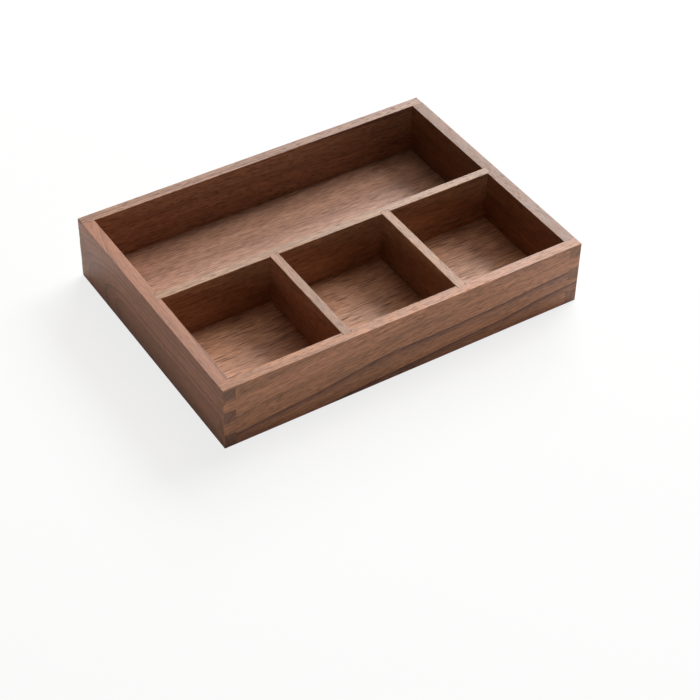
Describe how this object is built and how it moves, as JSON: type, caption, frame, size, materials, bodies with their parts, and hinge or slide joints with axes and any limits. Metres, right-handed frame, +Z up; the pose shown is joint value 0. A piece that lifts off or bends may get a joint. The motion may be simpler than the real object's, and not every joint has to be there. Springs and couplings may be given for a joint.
{
  "type": "vanity organizer tray",
  "caption": "Open-topped divided walnut tray with box-jointed corners, a long compartment at the back and small square ones in front, for keeping make-up and small things in order.",
  "frame": {"origin": "on the table under the middle of the tray, in the plane of the walls' lower edges", "axes": "+X along the length to the right, +Y from the small compartments towards the long one at the back, +Z up out of the open top"},
  "size_m": [0.25, 0.18, 0.045],
  "materials": {
    "walnut_wall": "oiled satin walnut",
    "walnut_panel": "oiled satin walnut",
    "walnut_divider": "oiled satin walnut"
  },
  "bodies": {
    "root": {"front_wall": "walnut_wall", "back_wall": "walnut_wall", "left_wall": "walnut_wall", "right_wall": "walnut_wall", "bottom_panel": "walnut_panel", "long_divider": "walnut_divider", "short_divider_1": "walnut_divider", "short_divider_2": "walnut_divider"}
  },
  "joints": []
}
